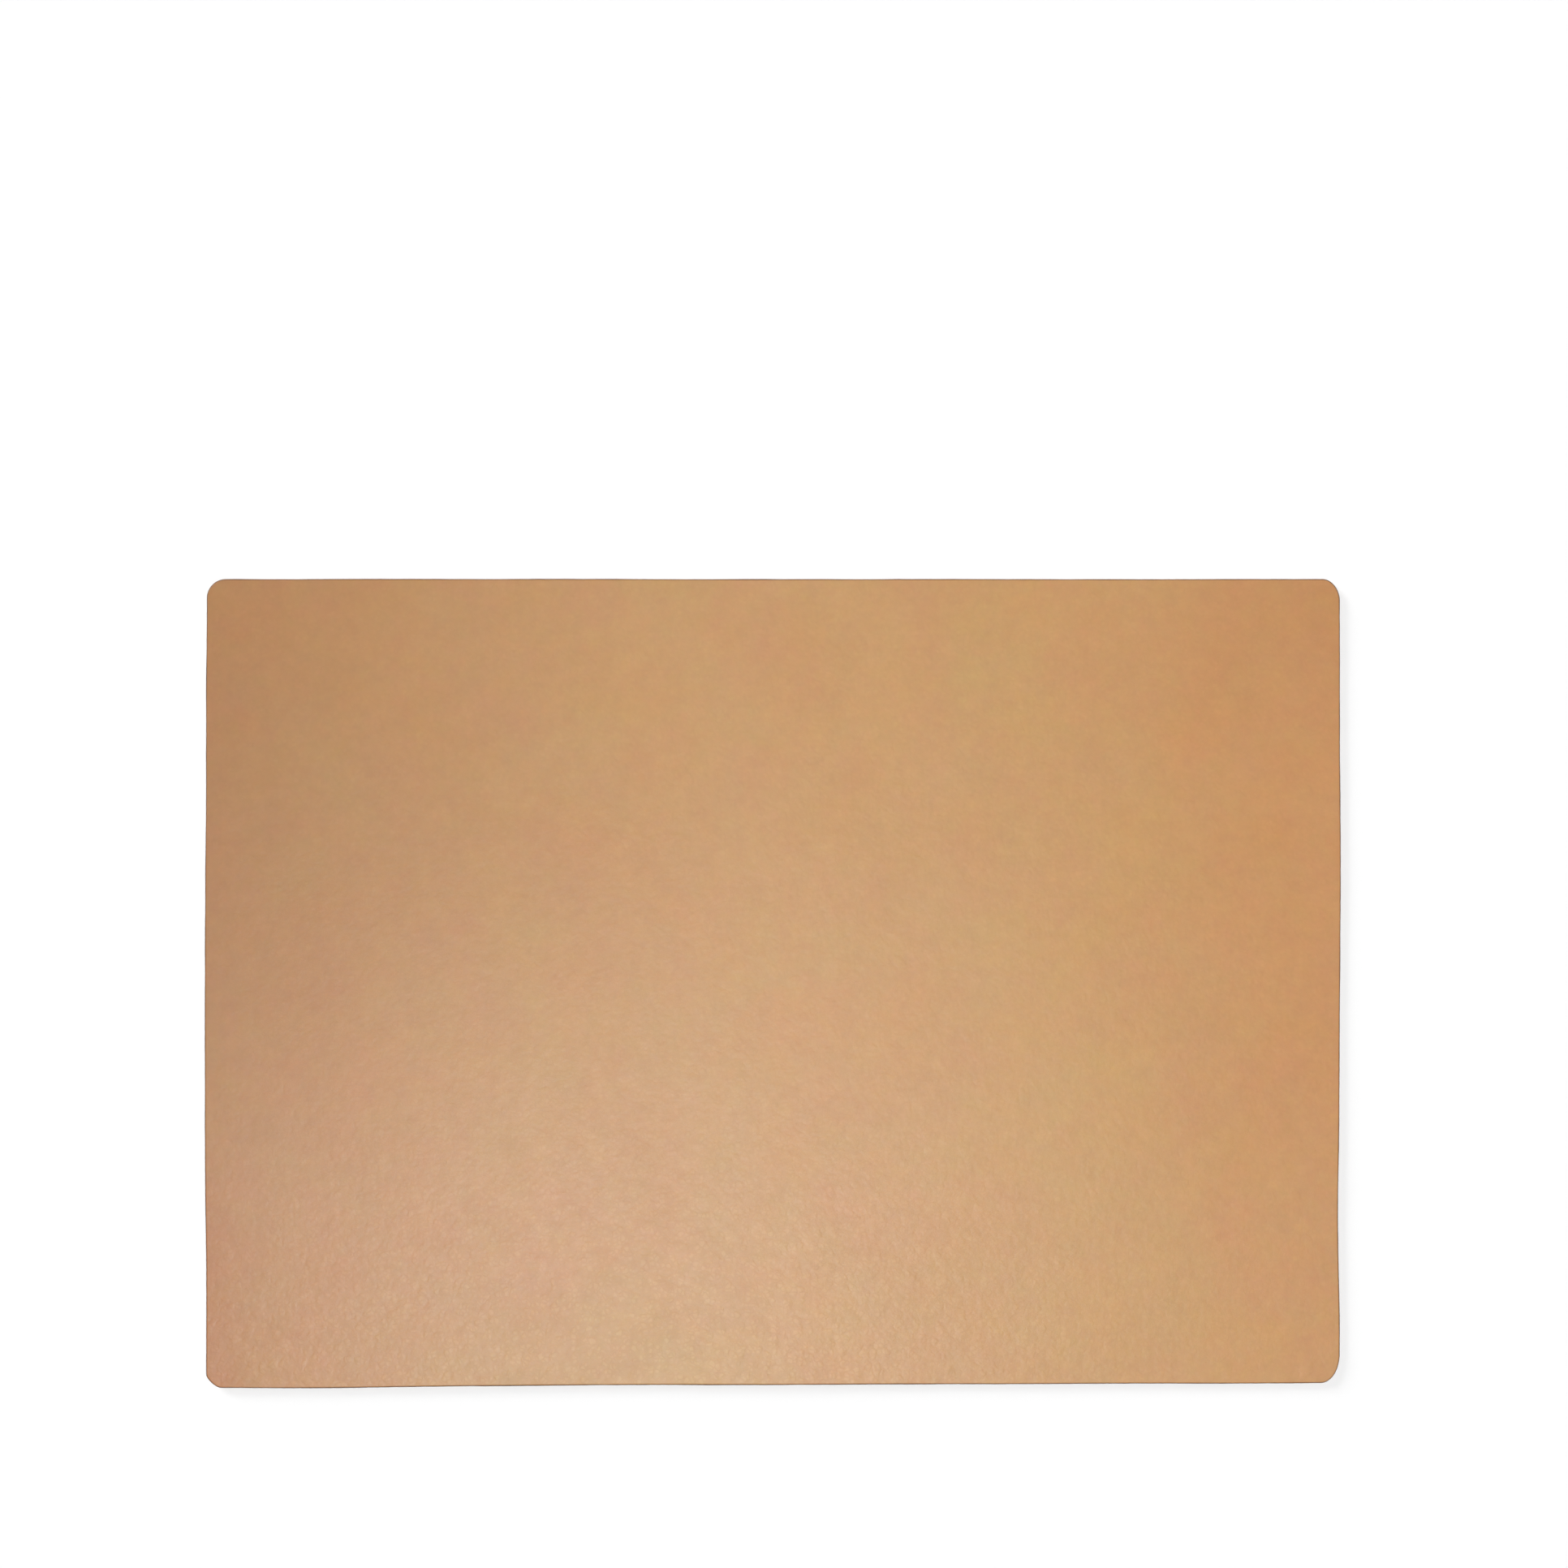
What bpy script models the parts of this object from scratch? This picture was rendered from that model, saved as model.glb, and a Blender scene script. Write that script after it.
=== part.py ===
"""Leather desk mat: a flat rectangular laminate with rounded corners.

From the top down it holds a tan grain-leather face, a bond film, a stiffening core board, a second
bond film and a suede underside that grips the desk. A cured bead of edge paint runs round the cut
edge and seals the layers.

Units are metres. The origin is on the desk under the middle of the mat. +X runs along the mat's
width, +Y to the far side of the desk, and +Z up.
"""

import math

import bmesh
import bpy

# Outline
MAT_WIDTH = 0.660
MAT_DEPTH = 0.470
CORNER_RADIUS = 0.011
CORNER_STEPS = 10  # straight pieces in each corner's quarter circle

# Layers
SUEDE_THICKNESS = 0.0007
CORE_THICKNESS = 0.0009
LEATHER_THICKNESS = 0.0011
BOND_LINE = 0.0003  # from one layer's face to the next one's
FILM_THICKNESS = 0.0001  # the cured film stands in the middle of its bond line
FILM_INSET = 0.0010  # the films stop short of the cut edge, so that no glue squeezes out
LEATHER_ROUNDING = 0.0006  # the face's upper edge is sanded round
ROUNDING_SEGMENTS = 4

# Edge paint: a bead with a flat back and a crowned front
BEAD_CROWN = 0.0005  # how far the bead stands out at its middle
BEAD_ROOT = 0.00015  # how far it stands out along its upper and lower edge
BEAD_FOOT = 0.0002  # clear of the desk
BEAD_POINTS = 9  # along the crown
BEAD_GAP = 0.0003  # from the layers' cut edge to the bead's back

CUT_INSET = BEAD_CROWN + BEAD_GAP  # from the mat's outline to the layers' cut edge

# Heights above the desk
CORE_LOW = SUEDE_THICKNESS + BOND_LINE
LEATHER_LOW = CORE_LOW + CORE_THICKNESS + BOND_LINE
MAT_HEIGHT = LEATHER_LOW + LEATHER_THICKNESS
FILM_RISE = (BOND_LINE - FILM_THICKNESS) / 2  # from a layer's top to the film above it

MERGE_DISTANCE = 0.000001
FLAT_ANGLE = math.radians(1)
SHARP_ANGLE = math.radians(45)

# Finishes: colour, roughness and metallic value
FINISHES = {
    "tan_leather": ((0.520, 0.275, 0.118, 1.0), 0.50, 0.0),
    "fibre_board": ((0.270, 0.160, 0.090, 1.0), 0.85, 0.0),
    "bond_film": ((0.720, 0.620, 0.460, 1.0), 0.35, 0.0),
    "brown_suede": ((0.180, 0.105, 0.065, 1.0), 0.95, 0.0),
    "edge_paint": ((0.145, 0.070, 0.035, 1.0), 0.38, 0.0),
}


def clear_scene():
    for obj in list(bpy.data.objects):
        bpy.data.objects.remove(obj)


def make_collection(name):
    collection = bpy.data.collections.new(name)
    bpy.context.scene.collection.children.link(collection)
    return collection


def make_material(name):
    colour, roughness, metallic = FINISHES[name]
    material = bpy.data.materials.new(name)
    material.use_nodes = True
    shader = material.node_tree.nodes["Principled BSDF"]
    shader.inputs["Base Color"].default_value = colour
    shader.inputs["Roughness"].default_value = roughness
    shader.inputs["Metallic"].default_value = metallic
    return material


def outline_points(inset):
    """The mat's rounded rectangle, moved in by inset, as (x, y) points anticlockwise from above."""
    radius = CORNER_RADIUS - inset
    across = MAT_WIDTH / 2 - CORNER_RADIUS
    along = MAT_DEPTH / 2 - CORNER_RADIUS
    centres = [(across, along), (-across, along), (-across, -along), (across, -along)]
    points = []
    for corner, (centre_x, centre_y) in enumerate(centres):
        for step in range(CORNER_STEPS + 1):
            angle = math.radians(90) * (corner + step / CORNER_STEPS)
            points.append((centre_x + radius * math.cos(angle), centre_y + radius * math.sin(angle)))
    return points


def closed_curve(name, points):
    """A flat curve of straight pieces through the points, back to the first."""
    curve = bpy.data.curves.new(name, "CURVE")
    curve.dimensions = "2D"
    spline = curve.splines.new("POLY")
    spline.points.add(len(points) - 1)
    for point, (x, y) in zip(spline.points, points):
        point.co = (x, y, 0.0, 1.0)
    spline.use_cyclic_u = True
    return curve


def place(obj, low, thickness, material, mat):
    """Stands a piece on its height above the desk, as a child of the mat's empty."""
    obj.location.z = low + thickness / 2
    obj.parent = mat
    obj.data.materials.append(material)


def make_layer(name, inset, low, thickness, material, mat, collection):
    """A sheet cut to the mat's outline: a flat outline curve, extruded by half its thickness each way."""
    curve = closed_curve(name, outline_points(inset))
    curve.fill_mode = "BOTH"
    curve.extrude = thickness / 2
    layer = bpy.data.objects.new(name, curve)
    collection.objects.link(layer)
    place(layer, low, thickness, material, mat)
    return layer


def as_mesh(obj, collection):
    """Turns a curve object into a mesh of the same name and place, with its caps joined to its sides."""
    graph = bpy.context.evaluated_depsgraph_get()
    mesh = bpy.data.meshes.new_from_object(obj.evaluated_get(graph))
    work = bmesh.new()
    work.from_mesh(mesh)
    bmesh.ops.remove_doubles(work, verts=work.verts, dist=MERGE_DISTANCE)
    bmesh.ops.dissolve_limit(work, angle_limit=FLAT_ANGLE, verts=work.verts, edges=work.edges)
    work.to_mesh(mesh)
    work.free()
    name, parent, place_z = obj.name, obj.parent, obj.location.z
    bpy.data.objects.remove(obj)
    made = bpy.data.objects.new(name, mesh)
    collection.objects.link(made)
    made.parent = parent
    made.location.z = place_z
    return made


def round_upper_edge(obj, width, segments):
    """A Bevel modifier on the outline of the piece's upper face only."""
    work = bmesh.new()
    work.from_mesh(obj.data)
    weights = work.edges.layers.float.new("bevel_weight_edge")
    for edge in work.edges:
        upper = all(vertex.co.z > 0 for vertex in edge.verts)
        if upper and edge.calc_face_angle() > SHARP_ANGLE:
            edge[weights] = 1.0
    work.to_mesh(obj.data)
    work.free()
    bevel = obj.modifiers.new("rounding", "BEVEL")
    bevel.limit_method = "WEIGHT"
    bevel.width = width
    bevel.segments = segments
    obj.data.shade_smooth()
    obj.data.set_sharp_from_angle(angle=SHARP_ANGLE)


def bead_section(height):
    """The bead's closed section, from its top down: x runs outwards from its flat back."""
    crown = []
    for step in range(BEAD_POINTS):
        angle = math.radians(180) * (0.5 - step / (BEAD_POINTS - 1))
        x = BEAD_ROOT + (BEAD_CROWN - BEAD_ROOT) * math.cos(angle)
        crown.append((x, height / 2 * math.sin(angle)))
    return [(0.0, height / 2), *crown, (0.0, -height / 2)]


def make_edge_bead(name, material, mat, collection, guides):
    """The bead's section, swept round the line of its back."""
    height = MAT_HEIGHT - LEATHER_ROUNDING - BEAD_FOOT
    section = bpy.data.objects.new("bead_section", closed_curve("bead_section", bead_section(height)))
    section.hide_render = True
    section.display_type = "WIRE"
    guides.objects.link(section)

    line = closed_curve(name, outline_points(BEAD_CROWN))
    line.dimensions = "3D"
    line.bevel_mode = "OBJECT"
    line.bevel_object = section
    bead = bpy.data.objects.new(name, line)
    collection.objects.link(bead)
    place(bead, BEAD_FOOT, height, material, mat)
    return bead


def build():
    clear_scene()
    parts = make_collection("desk_mat")
    guides = make_collection("guides")
    finish = {name: make_material(name) for name in FINISHES}
    mat = bpy.data.objects.new("desk_mat", None)
    parts.objects.link(mat)

    make_layer("suede_backing", CUT_INSET, 0.0, SUEDE_THICKNESS, finish["brown_suede"], mat, parts)
    make_layer("core_board", CUT_INSET, CORE_LOW, CORE_THICKNESS, finish["fibre_board"], mat, parts)
    film_heights = {
        "lower_bond_film": SUEDE_THICKNESS + FILM_RISE,
        "upper_bond_film": CORE_LOW + CORE_THICKNESS + FILM_RISE,
    }
    for name, low in film_heights.items():
        inset = CUT_INSET + FILM_INSET
        make_layer(name, inset, low, FILM_THICKNESS, finish["bond_film"], mat, parts)

    flat_face = make_layer(
        "leather_face", CUT_INSET, LEATHER_LOW, LEATHER_THICKNESS, finish["tan_leather"], mat, parts
    )
    leather = as_mesh(flat_face, parts)
    round_upper_edge(leather, LEATHER_ROUNDING, ROUNDING_SEGMENTS)

    make_edge_bead("edge_paint_bead", finish["edge_paint"], mat, parts, guides)


build()
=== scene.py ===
"""The looks of the leather desk mat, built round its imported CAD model.

The mat is a laminate: a tan grain-leather sheet, a thin board and a suede sheet, glued face to face,
with edge paint round the cut edge. Each layer is a closed mesh on one kind of grid, and settle() gives
all of them the same small unevenness, so that they stay glued to each other.

Metres, in the CAD frame: +X along the mat's width, +Y to the far side of the desk, +Z up.
"""

import math

import bpy
import numpy as np
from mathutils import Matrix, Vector


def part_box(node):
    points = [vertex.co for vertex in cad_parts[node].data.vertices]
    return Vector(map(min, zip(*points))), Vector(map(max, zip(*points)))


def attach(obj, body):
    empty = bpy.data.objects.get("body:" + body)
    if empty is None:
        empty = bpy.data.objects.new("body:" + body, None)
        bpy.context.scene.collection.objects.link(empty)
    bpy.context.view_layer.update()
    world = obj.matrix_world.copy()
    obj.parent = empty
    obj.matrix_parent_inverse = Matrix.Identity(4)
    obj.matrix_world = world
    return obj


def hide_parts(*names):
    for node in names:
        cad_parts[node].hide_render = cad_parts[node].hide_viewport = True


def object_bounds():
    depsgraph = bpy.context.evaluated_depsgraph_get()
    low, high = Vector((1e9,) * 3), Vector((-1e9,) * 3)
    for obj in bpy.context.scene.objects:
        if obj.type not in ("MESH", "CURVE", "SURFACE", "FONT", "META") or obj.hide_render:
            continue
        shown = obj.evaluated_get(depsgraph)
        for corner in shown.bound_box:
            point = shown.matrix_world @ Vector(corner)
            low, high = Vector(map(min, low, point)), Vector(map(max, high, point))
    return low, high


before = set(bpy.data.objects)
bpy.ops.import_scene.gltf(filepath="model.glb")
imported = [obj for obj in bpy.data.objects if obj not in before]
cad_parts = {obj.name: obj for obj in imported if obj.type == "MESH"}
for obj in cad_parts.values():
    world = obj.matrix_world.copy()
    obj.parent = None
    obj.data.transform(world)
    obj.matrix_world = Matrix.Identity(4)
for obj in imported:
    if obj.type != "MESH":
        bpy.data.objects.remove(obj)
cad_low, cad_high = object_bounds()

HALF_WIDTH = cad_high.x
HALF_DEPTH = cad_high.y
HEIGHT = cad_high.z

# The cut edge. An inset is a distance in from the mat's outline.
CUT_INSET = 0.0005  # where the layers end; the edge paint fills the rest
RIM_INSET = 0.0014  # where the flat faces begin
LEATHER_ROUNDING = 0.0006  # of the leather's upper edge
SUEDE_ROUNDING = 0.0002  # of the suede's lower edge
ROUNDING_STEPS = 5

# Each corner, by its side along X and Y: its reach along X, its reach along Y, and its fullness.
# A fullness of 2 is a quarter circle, and less is flatter, closer to a cut across the corner.
CORNERS = {
    (-1, 1): (0.0112, 0.0112, 2.0),
    (1, 1): (0.0100, 0.0125, 1.9),
    (-1, -1): (0.0086, 0.0078, 1.4),
    (1, -1): (0.0110, 0.0170, 2.0),
}

# The grid
EDGE_BAND = 0.018  # along the edges, where the grid is fine enough for the corners
EDGE_STEP = 0.001
LEATHER_STEP = 0.003
SUEDE_STEP = 0.004
HIDDEN_STEP = 0.006
SHARP_ANGLE = math.radians(50)

# How the outline was trimmed
NEAR_SKEW = 0.0031  # the near edge is out of square: how far it comes in per metre along it
NEAR_SKEW_FROM = -0.210  # where along it that starts
HAND_CUT = 0.00015  # wander of the knife
HAND_CUT_WAVES = (0.11, 0.13)  # the wander's wavelengths, for X and for Y
SWELLS = (  # which side, where along it, its reach along it and how far it stands out there
    ("left", -0.030, 0.135, 0.0012),
    ("right", 0.060, 0.080, 0.0005),
    ("right", -0.135, 0.050, -0.0009),
    ("near", -0.280, 0.095, 0.0011),
)

# How the mat lies
CURL = 0.0007  # how far the edges stand off the desk
CURL_REACH = 0.070  # how far in from the edge they start to rise
CURL_WAVE = 0.33  # the curl is higher here and lower there, over this wavelength
RIPPLE = 0.00025  # how far the whole mat rises and falls
RIPPLE_WAVE = 0.21

# The edge paint's section: how far it stands out, as a share of CUT_INSET, and its height, as a share
# of the mat's. It runs up the outside, over the leather's rounded edge and down inside the cut edge.
PAINT_OUTSIDE = [
    (0.05, 0.06), (0.45, 0.12), (0.78, 0.22), (0.95, 0.34), (1.00, 0.46),
    (0.96, 0.58), (0.84, 0.70), (0.60, 0.80), (0.28, 0.875), (-0.10, 0.925),
]
PAINT_INSIDE = [(-0.16, 0.90), (-0.08, 0.80), (-0.06, 0.30), (-0.06, 0.08)]
PAINT_UNEVENNESS = 0.16  # share of its thickness by which the paint varies along the edge
PAINT_WAVES = (0.045, 0.019)  # the wavelengths of that, long and short

GOLDEN_ANGLE = math.radians(137.5)


# The mat's shape


def swell(x, y, wavelength, start):
    """Smooth unevenness between about -1 and 1, from waves that cross each other."""
    waves = 5
    total = 0.0
    for wave in range(waves):
        heading = start + wave * GOLDEN_ANGLE
        length = wavelength * (0.75 + 0.5 * (wave * 0.618 % 1))
        along = x * math.cos(heading) + y * math.sin(heading)
        total = total + np.sin(along * math.tau / length + start + wave)
    return total / math.sqrt(2 * waves)


def trim(x, y):
    """Moves the outline to where the knife went. The move fades towards the opposite side."""
    right, left = (0.5 + x / HALF_WIDTH / 2) ** 2, (0.5 - x / HALF_WIDTH / 2) ** 2
    near = (0.5 - y / HALF_DEPTH / 2) ** 2
    wave_x, wave_y = HAND_CUT_WAVES
    moved_x = x + HAND_CUT * swell(x, y, wave_x, 1.0)
    moved_y = y + HAND_CUT * swell(x, y, wave_y, 4.0) + NEAR_SKEW * (x - NEAR_SKEW_FROM) * near
    for side, place, reach, out in SWELLS:
        along = x if side == "near" else y
        moved = out * np.exp(-(((along - place) / reach) ** 2))
        if side == "near":
            moved_y = moved_y - moved * near
        else:
            moved_x = moved_x + (moved * right if side == "right" else -moved * left)
    return moved_x, moved_y


def settle(points, inset):
    """Trims the outline and lays the mat on the desk, where its edges stand up a little."""
    x, y, z = points.T
    moved_x, moved_y = trim(x, y)

    rise = np.clip(1 - inset / CURL_REACH, 0, 1) ** 2
    curl = CURL * rise * (0.6 + 0.4 * swell(x, y, CURL_WAVE, 2.0))
    ripple = RIPPLE * (1 + swell(x, y, RIPPLE_WAVE, 3.0)) / 2
    return np.column_stack([moved_x, moved_y, z + np.maximum(curl + ripple, 0)])


def grid_places(half, step):
    """Places across the mat from edge to edge, close together near both edges."""
    band = np.arange(0, EDGE_BAND, EDGE_STEP)
    inner = half - EDGE_BAND
    count = math.ceil(2 * inner / step)
    return np.concatenate([band - half, np.linspace(-inner, inner, count + 1), half - band[::-1]])


def round_corners(plain, inset):
    """Fits points of a plain rectangle to the mat's corners, and gives the way out at each point."""
    half = np.array([HALF_WIDTH - inset, HALF_DEPTH - inset])
    fitted = plain.copy()
    outward = np.zeros_like(plain)
    for side, (reach_x, reach_y, fullness) in CORNERS.items():
        here = (plain * side >= 0).all(1)
        reach = np.array([reach_x - inset, reach_y - inset])
        into = np.clip((np.abs(plain[here]) - (half - reach)) / reach, 0, 1)
        size = np.maximum((into**fullness).sum(1), 1e-12) ** (1 / fullness)
        squeeze = np.where(into.min(1) > 0, into.max(1) / size, 1)
        fitted[here] -= np.array(side) * reach * into * (1 - squeeze)[:, None]
        outward[here] = np.array(side) * into ** (fullness - 1) / reach
    length = np.linalg.norm(outward, axis=1)
    return fitted, outward / np.maximum(length, 1e-12)[:, None]


def quads(*corners):
    """Four-sided faces from the numbers of their first, second, third and fourth points."""
    return np.stack([corner.ravel() for corner in corners], 1)


def join_rings(rings, closed=False):
    """The faces between rings of point numbers, each ring with its next."""
    following = rings[1:] + rings[:1] if closed else rings[1:]
    return [quads(a, b, np.roll(b, -1), np.roll(a, -1)) for a, b in zip(rings, following)]


class Grid:
    """The mat's flat area as a grid of points, out to RIM_INSET from the outline."""

    def __init__(self, step):
        across = grid_places(HALF_WIDTH - RIM_INSET, step)
        along = grid_places(HALF_DEPTH - RIM_INSET, step)
        plain = np.array(np.meshgrid(across, along)).reshape(2, -1).T
        index = np.arange(len(plain)).reshape(len(along), len(across))
        self.border = np.concatenate([index[0, :-1], index[:-1, -1], index[-1, :0:-1], index[:0:-1, 0]])
        self.faces = quads(index[:-1, :-1], index[:-1, 1:], index[1:, 1:], index[1:, :-1])
        self.points, outward = round_corners(plain, RIM_INSET)
        self.outward = outward[self.border]
        self.inset = (np.array([HALF_WIDTH, HALF_DEPTH]) - np.abs(plain)).min(1)

    def face_at(self, height):
        """All the points, at that height."""
        return np.column_stack([self.points, np.full(len(self.points), height)])

    def ring_at(self, inset, height):
        """The border's points, moved to another inset and height."""
        moved = self.points[self.border] + self.outward * np.reshape(RIM_INSET - inset, (-1, 1))
        return np.column_stack([moved, np.full(len(moved), height)])


def quarter_turn(radius):
    """Steps of a quarter circle that rounds a corner, as distances from the corner's two sides."""
    if radius == 0:
        return [(0.0, 0.0)]
    angles = [math.radians(90) * step / ROUNDING_STEPS for step in range(ROUNDING_STEPS + 1)]
    return [(radius * (1 - math.sin(angle)), radius * (1 - math.cos(angle))) for angle in angles]


def edge_profile(low, high, upper_rounding, lower_rounding):
    """A layer's cut edge as (inset, height) points, from its upper face to its lower one."""
    upper = [(CUT_INSET + aside, high - down) for aside, down in quarter_turn(upper_rounding)]
    lower = [(CUT_INSET + aside, low + up) for aside, up in quarter_turn(lower_rounding)]
    return upper + lower[::-1]


def new_piece(name, points, inset, faces, material):
    """A smooth mesh of the settled points that rides with the mat. It keeps each point's inset."""
    mesh = bpy.data.meshes.new(name)
    mesh.from_pydata(settle(points, inset).tolist(), [], np.concatenate(faces).tolist())
    kept = mesh.attributes.new("inset", "FLOAT", "POINT")
    kept.data.foreach_set("value", inset.astype(np.float32))
    mesh.materials.append(material)
    mesh.shade_smooth()
    mesh.set_sharp_from_angle(angle=SHARP_ANGLE)
    piece = bpy.data.objects.new(name, mesh)
    bpy.context.scene.collection.objects.link(piece)
    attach(piece, "root")
    return piece


def make_layer(name, step, low, high, material, upper_rounding=0.0, lower_rounding=0.0):
    """A closed sheet: an upper and a lower face on the grid, and rings of points round its edge."""
    grid = Grid(step)
    profile = edge_profile(low, high, upper_rounding, lower_rounding)
    size, around = len(grid.points), len(grid.border)
    rings = [grid.ring_at(inset, height) for inset, height in profile]
    points = np.concatenate([grid.face_at(high), grid.face_at(low), *rings])
    insets = [grid.inset, grid.inset, *[np.full(around, inset) for inset, _ in profile]]

    starts = [2 * size + around * ring for ring in range(len(rings))]
    numbers = [grid.border, *[start + np.arange(around) for start in starts], grid.border + size]
    faces = [grid.faces, grid.faces[:, ::-1] + size, *join_rings(numbers)]
    return new_piece(name, points, np.concatenate(insets), faces, material)


def make_edge_paint(name, material):
    """The bead of paint, a closed ring round the cut edge, a little thicker here and thinner there."""
    grid = Grid(LEATHER_STEP)
    x, y = grid.points[grid.border].T
    long_wave, short_wave = PAINT_WAVES
    uneven = PAINT_UNEVENNESS * (swell(x, y, long_wave, 5.0) + swell(x, y, short_wave, 6.0) / 2)
    rings, insets = [], []
    for stands_out, height in PAINT_OUTSIDE + PAINT_INSIDE:
        thickness = stands_out * CUT_INSET * (1 + uneven * (stands_out > 0))
        insets.append(CUT_INSET - thickness)
        rings.append(grid.ring_at(insets[-1], height * HEIGHT))
    numbers = [len(x) * ring + np.arange(len(x)) for ring in range(len(rings))]
    faces = join_rings(numbers[::-1], closed=True)
    return new_piece(name, np.concatenate(rings), np.concatenate(insets), faces, material)


# Shader nodes


def node(tree, kind, inputs, **settings):
    """Adds a shader node. inputs gives its inputs a value each, or the output that feeds them."""
    made = tree.nodes.new("ShaderNode" + kind)
    for name, value in settings.items():
        setattr(made, name, value)
    for name, value in inputs.items():
        if isinstance(value, bpy.types.NodeSocket):
            tree.links.new(value, made.inputs[name])
        else:
            made.inputs[name].default_value = value
    return made


def maths(tree, operation, *values):
    """A sum, product or other operation on the values."""
    return node(tree, "Math", dict(enumerate(values)), operation=operation).outputs[0]


def blend_colours(tree, share, first, second, way="MIX"):
    """The first colour, with a share of the second mixed in, or laid over it in another way."""
    made = node(tree, "Mix", {0: share, 6: first, 7: second}, data_type="RGBA", blend_type=way)
    return made.outputs[2]


def remap(tree, value, low, high, to_low=0.0, to_high=1.0):
    """What goes from low to high now goes from to_low to to_high, with soft ends."""
    inputs = {"Value": value, "From Min": low, "From Max": high, "To Min": to_low, "To Max": to_high}
    return node(tree, "MapRange", inputs, interpolation_type="SMOOTHSTEP").outputs[0]


def noise(tree, place, size, detail=2.0, roughness=0.5):
    """Soft noise from 0 to 1, with features of about that size in metres."""
    inputs = {"Vector": place, "Scale": 1 / size, "Detail": detail, "Roughness": roughness}
    return node(tree, "TexNoise", inputs).outputs[0]


def cells(tree, place, size):
    """How far each point is from the creases between irregular cells: 0 in a crease."""
    inputs = {"Vector": place, "Scale": 1 / size}
    return node(tree, "TexVoronoi", inputs, feature="DISTANCE_TO_EDGE").outputs["Distance"]


def stretch(tree, place, scale):
    """Scales places along X, Y and Z, so that a pattern there is drawn out or pressed together."""
    return node(tree, "VectorMath", {0: place, 1: scale}, operation="MULTIPLY").outputs[0]


def wander(tree, place, size, amount):
    """Shifts places about by up to that amount, so that a pattern loses its straight lines."""
    inputs = {"Vector": place, "Scale": 1 / size, "Detail": 1.0}
    shift = node(tree, "TexNoise", inputs).outputs["Color"]
    inputs = {0: shift, 1: (2 * amount,) * 3, 2: place}
    return node(tree, "VectorMath", inputs, operation="MULTIPLY_ADD").outputs[0]


def patch(tree, place, centre, reach):
    """A soft oval patch on the mat: 1 at its centre and 0 at its reach along X and Y."""
    away = node(tree, "VectorMath", {0: place, 1: (*centre, 0)}, operation="SUBTRACT").outputs[0]
    shares = stretch(tree, away, (1 / reach[0], 1 / reach[1], 0))
    distance = node(tree, "VectorMath", {0: shares}, operation="LENGTH").outputs["Value"]
    return remap(tree, distance, 1.0, 0.0)


def bump(tree, height, depth):
    """A normal that follows the height, which goes from 0 to 1 for that depth."""
    inputs = {"Height": height, "Distance": depth, "Strength": 1.0}
    return node(tree, "Bump", inputs).outputs[0]


def new_material(name, **values):
    """A Principled material with these plain values, its node tree, shader and object coordinates."""
    material = bpy.data.materials.new(name)
    material.use_nodes = True
    tree = material.node_tree
    shader = tree.nodes["Principled BSDF"]
    for socket, value in values.items():
        shader.inputs[socket.replace("_", " ")].default_value = value
    return material, tree, shader, node(tree, "TexCoord", {}).outputs["Object"]


def feed(tree, shader, **sockets):
    """Links outputs to the shader's inputs of those names."""
    for name, output in sockets.items():
        tree.links.new(output, shader.inputs[name.replace("_", " ")])


# Materials. Colours are linear RGB with an alpha of 1, and sizes and depths are in metres.

# The middle of a noise's range, which a blend or a roughness follows from end to end
SOFT_SPAN = (0.35, 0.65)
WIDE_SPAN = (0.30, 0.70)

# Leather
TAN = (0.525, 0.285, 0.115, 1)
# The creases' darker colour is dye and painted shade in the hollows.
CREASE_COLOUR = (0.465, 0.235, 0.092, 1)
CREASE_DYE_AND_SHADE = (0.15, 0.50)  # how far the creases take that colour, on tight and on loose skin
MOTTLING = (0.20, 0.32, 0.42)  # how far red, green and blue vary over the hide, as shares
MOTTLE_SIZE = 0.050  # of the largest mottles
SHADE = 0.17  # how far the dye gets lighter and darker over a few millimetres, as a share
SHADE_SIZE = 0.010  # of the largest of those areas
ROSY_TINT = (1.0, 0.975, 0.975, 1)
ROSY_SIZE = 0.110
ROSY_SPAN = (0.40, 0.62)
RIM_TINT = (0.93, 0.90, 0.88, 1)
RIM_INSETS = (0.0008, 0.0012)  # from the mat's outline: the rim's tint fades out between them
LEATHER_ROUGHNESS = (0.435, 0.445)
CLOUD_SIZE = 0.030  # of the drift in that roughness
FOLD_ROUGHNESS = 0.06  # more roughness on the folds
PEBBLE_ROUGHNESS = -0.012  # and less on the pebbles

# Tones over the hide: each one's centre, its reach and the tint there. The darker left is painted shade,
# the light falling off towards the left, and the lighter, bluer patch near the left is a painted sheen over
# a rosy tone.
TONES = {
    # painted shade: the light falling off towards the left
    "painted shade left": ((-0.50, 0.05), (0.55, 0.90), (0.68, 0.60, 0.60, 1)),
    # a painted sheen over a rosy tone
    "painted sheen and rosy tone near left": ((-0.25, -0.15), (0.20, 0.25), (1.08, 1.08, 1.20, 1)),
    "orange right": ((0.30, 0.05), (0.20, 0.40), (1.00, 0.90, 0.85, 1)),
    "golden middle": ((0.20, -0.05), (0.15, 0.40), (1.00, 1.05, 1.00, 1)),
    "dark far right": ((0.35, 0.25), (0.15, 0.15), (0.95, 0.90, 0.90, 1)),
    "red near left corner": ((-0.35, -0.20), (0.06, 0.12), (1.00, 0.80, 0.80, 1)),
    "yellow near edge": ((-0.10, -0.25), (0.20, 0.10), (0.95, 1.02, 0.92, 1)),
}

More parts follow.
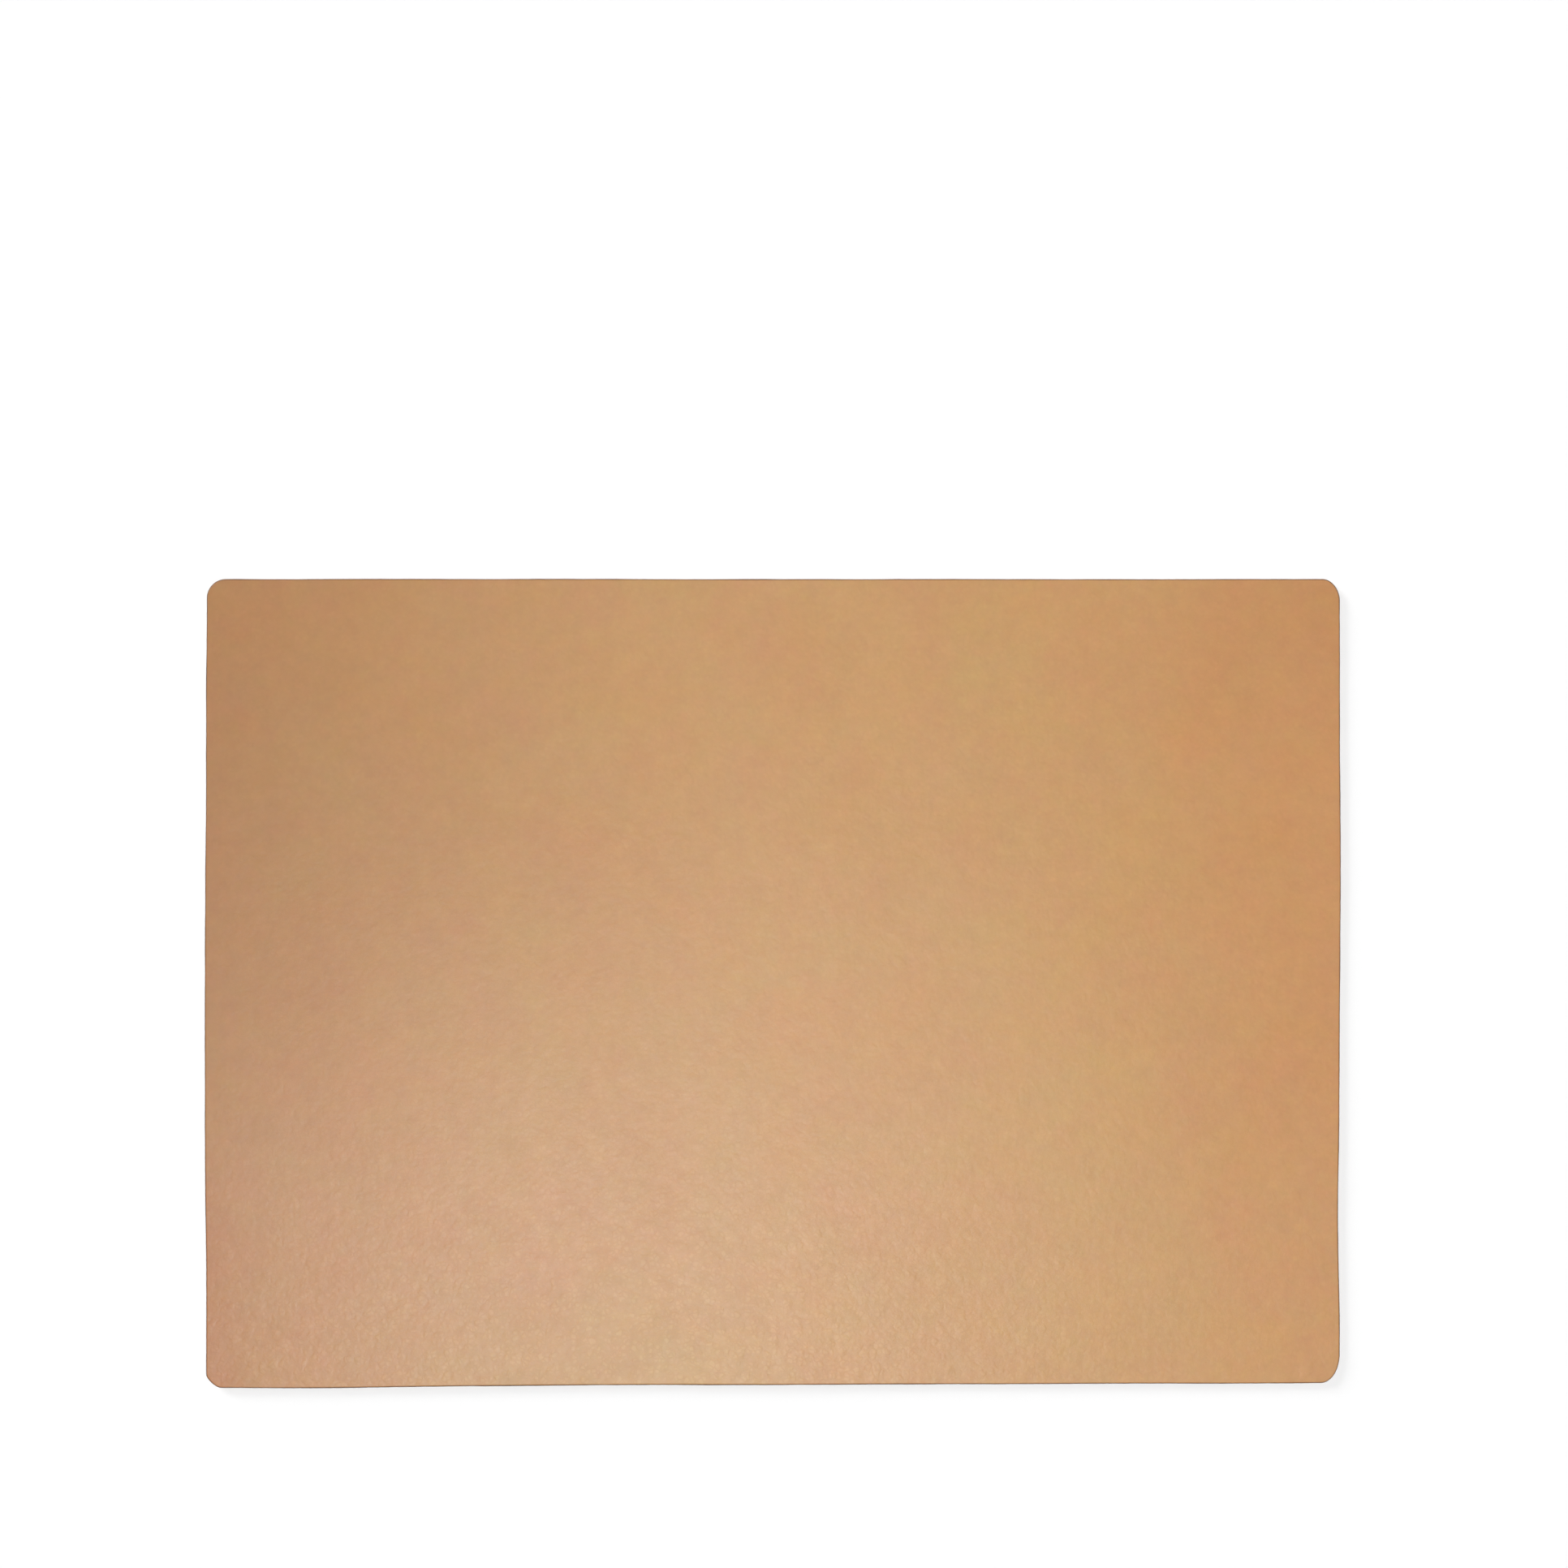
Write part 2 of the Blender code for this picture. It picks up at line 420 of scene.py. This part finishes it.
# The grain: the size of each pattern and its depth, in metres
PEBBLES = (0.0030, 0.000010)
FINE_PEBBLES = (0.0012, 0.000004)
PORES = (0.00035, 0.000003)
FOLDS = (0.0065, 0.000195)  # soft folds of the skin under the pebbles
WRINKLES = (0.0060, 0.000030)
PEBBLE_SLOPE = (0.02, 0.30)  # where a pebble rises from its crease, as shares of its size
FINE_SLOPE = (0.02, 0.28)
WRINKLE_SLOPE = (0.0, 0.18)  # how far the noise is from its middle in a wrinkle's floor and at its top
BEND_SIZE = 0.0030  # the patterns are bent a little, so that they don't look drawn
BEND = 0.0007
LOOSE_AT = (-0.10, -0.25)  # the skin is looser here, and its grain deeper
LOOSE_REACH = (0.55, 0.27)
LOOSE_DEPTH = (0.65, 1.40)  # what the depths are multiplied by on tight and on loose skin

# Suede
SUEDE_BRUSHED = (0.163, 0.095, 0.058, 1)
SUEDE_RAISED = (0.208, 0.125, 0.079, 1)
NAP_SHADOW = (0.090, 0.050, 0.030, 1)
NAP_SIZE = 0.00045
NAP_SPAN = (0.35, 0.70)
NAP_DARKNESS = 0.55  # how far the gaps in the nap take the shadow's colour
NAP_DEPTH = 0.00012
BRUSHED_SIZE = 0.018
SUEDE_ROUGHNESS = (0.88, 0.98)

# Board, film and edge paint
BOARD_BODY = (0.225, 0.130, 0.072, 1)
BOARD_FLECK = (0.370, 0.235, 0.140, 1)
FLECK_SIZE = 0.0009
FLECK_SPAN = (0.42, 0.66)
FLECK_DEPTH = 0.00008
FILM_THIN = (0.62, 0.50, 0.33, 1)
FILM_THICK = (0.80, 0.72, 0.56, 1)
STREAK_SIZE = 0.004
STREAK_DEPTH = 0.00004
PAINT_DARK = (0.120, 0.056, 0.028, 1)
PAINT_LIGHT = (0.165, 0.080, 0.040, 1)
PAINT_DRIFT_SIZE = 0.012
PAINT_ROUGHNESS = (0.34, 0.46)
PEEL_SIZE = 0.0007
PEEL_DEPTH = 0.00003


def leather_colour(tree, place, dye_and_painted_shade):
    """The hide's colour: creases darkened with dye and painted shade, drifting tones with painted shade on
    the left and a painted sheen near the left, mottles, rosy areas and a darker rim.
    """
    colour = blend_colours(tree, dye_and_painted_shade, TAN, CREASE_COLOUR)
    # The tones hold painted shade on the left and a painted sheen near the left.
    for centre, reach, tint in TONES.values():
        colour = blend_colours(tree, patch(tree, place, centre, reach), colour, tint, "MULTIPLY")

    inputs = {"Vector": place, "Scale": 1 / MOTTLE_SIZE, "Detail": 5.0, "Roughness": 0.88}
    mottled = node(tree, "TexNoise", inputs).outputs["Color"]
    middle = tuple(1 - share / 2 for share in MOTTLING)
    inputs = {0: mottled, 1: MOTTLING, 2: middle}
    mottling = node(tree, "VectorMath", inputs, operation="MULTIPLY_ADD").outputs[0]
    colour = blend_colours(tree, 1.0, colour, mottling, "MULTIPLY")
    shade = noise(tree, place, SHADE_SIZE, 2.0, 1.0)
    shade = maths(tree, "MULTIPLY_ADD", shade, SHADE, 1 - SHADE / 2)
    colour = blend_colours(tree, 1.0, colour, shade, "MULTIPLY")

    rosy = remap(tree, noise(tree, place, ROSY_SIZE, 2.5), *ROSY_SPAN)
    colour = blend_colours(tree, rosy, colour, ROSY_TINT, "MULTIPLY")
    inset = node(tree, "Attribute", {}, attribute_name="inset").outputs["Fac"]
    rim = remap(tree, inset, RIM_INSETS[1], RIM_INSETS[0])
    return blend_colours(tree, rim, colour, RIM_TINT, "MULTIPLY")


def leather_material():
    """Smooth tan grain leather: small flat pebbles, soft folds, and fine creases darkened with dye and
    painted shade.
    """
    material, tree, shader, place = new_material("tan_leather", Specular_IOR_Level=0.5)
    bent = wander(tree, place, BEND_SIZE, BEND)
    pebbles = remap(tree, cells(tree, bent, PEBBLES[0]), *PEBBLE_SLOPE)
    fine = remap(tree, cells(tree, bent, FINE_PEBBLES[0]), *FINE_SLOPE)
    ridges = maths(tree, "ABSOLUTE", maths(tree, "SUBTRACT", noise(tree, bent, WRINKLES[0], 1.0), 0.5))
    wrinkles = remap(tree, ridges, *WRINKLE_SLOPE)
    pores = noise(tree, place, PORES[0])
    folds = noise(tree, bent, FOLDS[0], 1.6, 0.65)
    loose = patch(tree, place, LOOSE_AT, LOOSE_REACH)

    height = maths(tree, "MULTIPLY", pebbles, PEBBLES[1])
    others = ((fine, FINE_PEBBLES), (pores, PORES), (folds, FOLDS), (wrinkles, WRINKLES))
    for pattern, (_, depth) in others:
        height = maths(tree, "MULTIPLY_ADD", pattern, depth, height)
    height = maths(tree, "MULTIPLY", height, remap(tree, loose, 0.0, 1.0, *LOOSE_DEPTH))

    # The creases are darkened with dye and with painted shade.
    creases = remap(tree, maths(tree, "MULTIPLY", pebbles, wrinkles), 0.0, 0.8, 1.0, 0.0)
    dye_and_painted_shade = maths(tree, "MULTIPLY", creases, remap(tree, loose, 0.0, 1.0, *CREASE_DYE_AND_SHADE))
    colour = leather_colour(tree, place, dye_and_painted_shade)

    cloud = noise(tree, place, CLOUD_SIZE, 3.0, 0.55)
    roughness = remap(tree, cloud, *WIDE_SPAN, *LEATHER_ROUGHNESS)
    roughness = maths(tree, "MULTIPLY_ADD", folds, FOLD_ROUGHNESS, roughness)
    roughness = maths(tree, "MULTIPLY_ADD", pebbles, PEBBLE_ROUGHNESS, roughness)
    feed(tree, shader, Base_Color=colour, Roughness=roughness, Normal=bump(tree, height, 1.0))
    return material


def suede_material():
    """Brown suede: a short nap that lies in brushed patches."""
    material, tree, shader, place = new_material("brown_suede", Sheen_Weight=0.35, Sheen_Roughness=0.45)
    bent = wander(tree, place, 0.020, 0.006)
    brushed = noise(tree, stretch(tree, bent, (1.0, 0.35, 1.0)), BRUSHED_SIZE, 3.0, 0.6)
    nap = noise(tree, stretch(tree, place, (1.0, 0.45, 1.0)), NAP_SIZE, 3.0, 0.65)
    colour = blend_colours(tree, remap(tree, brushed, *SOFT_SPAN), SUEDE_BRUSHED, SUEDE_RAISED)
    colour = blend_colours(tree, remap(tree, nap, *NAP_SPAN, NAP_DARKNESS, 0.0), colour, NAP_SHADOW)
    height = maths(tree, "MULTIPLY_ADD", nap, 0.8, maths(tree, "MULTIPLY", brushed, 0.2))
    roughness = remap(tree, brushed, *WIDE_SPAN, *SUEDE_ROUGHNESS)
    feed(tree, shader, Base_Color=colour, Roughness=roughness, Normal=bump(tree, height, NAP_DEPTH))
    return material


def board_material():
    """Pressed leather-fibre board: short flecks in a brown body."""
    material, tree, shader, place = new_material("fibre_board", Roughness=0.85)
    bent = stretch(tree, wander(tree, place, 0.004, 0.002), (1.0, 0.3, 1.0))
    flecks = noise(tree, bent, FLECK_SIZE, 3.0, 0.7)
    colour = blend_colours(tree, remap(tree, flecks, *FLECK_SPAN), BOARD_BODY, BOARD_FLECK)
    feed(tree, shader, Base_Color=colour, Normal=bump(tree, flecks, FLECK_DEPTH))
    return material


def film_material():
    """Cured contact adhesive: cream, with thin and thick streaks from the spreader."""
    material, tree, shader, place = new_material("bond_film", Roughness=0.4)
    streaks = noise(tree, stretch(tree, place, (0.25, 1.0, 1.0)), STREAK_SIZE, 3.0)
    colour = blend_colours(tree, remap(tree, streaks, *SOFT_SPAN), FILM_THIN, FILM_THICK)
    feed(tree, shader, Base_Color=colour, Normal=bump(tree, streaks, STREAK_DEPTH))
    return material


def edge_paint_material():
    """Dark brown edge paint, rubbed to a satin, with a faint orange peel."""
    material, tree, shader, place = new_material("edge_paint", Specular_IOR_Level=0.5)
    peel = noise(tree, place, PEEL_SIZE, 2.0)
    drift = noise(tree, place, PAINT_DRIFT_SIZE, 3.0)
    colour = blend_colours(tree, remap(tree, drift, *SOFT_SPAN), PAINT_DARK, PAINT_LIGHT)
    roughness = remap(tree, drift, *WIDE_SPAN, *PAINT_ROUGHNESS)
    feed(tree, shader, Base_Color=colour, Roughness=roughness, Normal=bump(tree, peel, PEEL_DEPTH))
    return material


# The stage

FLOOR_SIZE = 60.0
FLOOR_GAP = 0.0001  # from the floor up to the mat
FLOOR_COLOUR = (0.93, 0.93, 0.93, 1)

MIDDLE = (0, 0, HEIGHT)  # of the mat's upper face
OVERHEAD_FROM = (0.3, 0.3, 3.0)
OVERHEAD_LIGHT = 2.67
OVERHEAD_ANGLE = math.radians(20)
KEY_HEADING = (-0.77, 0.64)  # the key light comes from the far left
KEY_ELEVATION = math.radians(20.6)
KEY_LIGHT = 1.315
KEY_ANGLE = math.radians(24)
SHEEN_PLACE = (-0.16, -0.57, 1.8)  # a lamp whose reflection gives the leather its sheen
SHEEN_SIZE = (0.20, 0.36)
SHEEN_LIGHT = 25.0

AMBIENT_LIGHT = 0.10
HORIZON_LIGHT = 0.75  # what the pale horizon adds in reflections
HORIZON_TOP = 0.5  # how far up it reaches, as the sine of its elevation
BACKDROP_LIGHT = 1.05  # what the camera sees past the floor
WHITE = (1, 1, 1, 1)

CAMERA_PLACE = (0.0063, 0.1156)
CAMERA_HEIGHT = 1.775  # above the mat
LENS = 70
SENSOR = 36


def make_floor():
    """A wide pale floor just under the mat."""
    material = new_material("pale_floor", Base_Color=FLOOR_COLOUR, Roughness=1.0, Specular_IOR_Level=0.0)[0]
    bpy.ops.mesh.primitive_plane_add(size=FLOOR_SIZE, location=(0, 0, cad_low.z - FLOOR_GAP))
    floor = bpy.context.object
    floor.name = "floor"
    floor.data.materials.append(material)


def make_light(name, kind, place, aim=MIDDLE, **values):
    """A light at a place, or from its direction if it is a sun, turned to its aim."""
    light = bpy.data.lights.new(name, kind)
    for setting, value in values.items():
        setattr(light, setting, value)
    lamp = bpy.data.objects.new(name, light)
    bpy.context.scene.collection.objects.link(lamp)
    lamp.location = place
    lamp.rotation_mode = "QUATERNION"
    lamp.rotation_quaternion = (Vector(aim) - Vector(place)).to_track_quat("-Z", "Y")
    lamp.visible_camera = False
    return lamp


def make_lights():
    """A soft overhead light, a low key light that casts the shadow, and a lamp for the sheen alone."""
    overhead = make_light("overhead", "SUN", OVERHEAD_FROM, energy=OVERHEAD_LIGHT, angle=OVERHEAD_ANGLE)
    overhead.visible_glossy = False
    level = math.cos(KEY_ELEVATION)
    key_from = (KEY_HEADING[0] * level, KEY_HEADING[1] * level, math.sin(KEY_ELEVATION))
    make_light("key", "SUN", key_from, aim=(0, 0, 0), energy=KEY_LIGHT, angle=KEY_ANGLE)
    sheen = make_light("sheen", "AREA", SHEEN_PLACE, shape="ELLIPSE", energy=SHEEN_LIGHT)
    sheen.data.size, sheen.data.size_y = SHEEN_SIZE
    sheen.visible_diffuse = False


def make_world():
    """White to the camera, a pale horizon in reflections, and a dim even light on everything else."""
    world = bpy.data.worlds.new("studio")
    bpy.context.scene.world = world
    world.use_nodes = True
    tree = world.node_tree
    path = node(tree, "LightPath", {})
    direction = node(tree, "TexCoord", {}).outputs["Generated"]
    upward = node(tree, "SeparateXYZ", {0: direction}).outputs["Z"]
    horizon = remap(tree, upward, HORIZON_TOP, 0.0, 0.0, HORIZON_LIGHT)
    strength = maths(tree, "MULTIPLY_ADD", horizon, path.outputs["Is Glossy Ray"], AMBIENT_LIGHT)
    ambient = node(tree, "Background", {"Color": WHITE, "Strength": strength})
    seen = node(tree, "Background", {"Color": WHITE, "Strength": BACKDROP_LIGHT})
    inputs = {0: path.outputs["Is Camera Ray"], 1: ambient.outputs[0], 2: seen.outputs[0]}
    mixed = node(tree, "MixShader", inputs)
    tree.links.new(mixed.outputs[0], tree.nodes["World Output"].inputs["Surface"])
    bpy.context.scene.view_settings.view_transform = "Standard"


def make_camera():
    """Straight down, with the mat in the lower half of the view."""
    camera = bpy.data.cameras.new("camera")
    camera.lens = LENS
    camera.sensor_width = SENSOR
    holder = bpy.data.objects.new("camera", camera)
    bpy.context.scene.collection.objects.link(holder)
    holder.location = (*CAMERA_PLACE, HEIGHT + CAMERA_HEIGHT)
    bpy.context.scene.camera = holder


# The mat


def make_mat():
    """The mat's six pieces, each in the place of its CAD node."""
    lower_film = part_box("lower_bond_film")
    upper_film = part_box("upper_bond_film")
    leather = make_layer(
        "leather_sheet", LEATHER_STEP, upper_film[1].z, HEIGHT, leather_material(),
        upper_rounding=LEATHER_ROUNDING,
    )
    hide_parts("leather_face")
    suede = make_layer(
        "suede_sheet", SUEDE_STEP, cad_low.z, lower_film[0].z, suede_material(),
        lower_rounding=SUEDE_ROUNDING,
    )
    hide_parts("suede_backing")
    board = make_layer(
        "stiffener_board", HIDDEN_STEP, lower_film[1].z, upper_film[0].z, board_material()
    )
    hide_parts("core_board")
    glue = film_material()
    for name, node_name, (low, high) in (
        ("lower_glue_film", "lower_bond_film", lower_film),
        ("upper_glue_film", "upper_bond_film", upper_film),
    ):
        film = make_layer(name, HIDDEN_STEP, low.z, high.z, glue)
        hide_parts(node_name)
    paint = make_edge_paint("edge_paint", edge_paint_material())
    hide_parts("edge_paint_bead")


make_camera()
make_mat()
make_floor()
make_lights()
make_world()
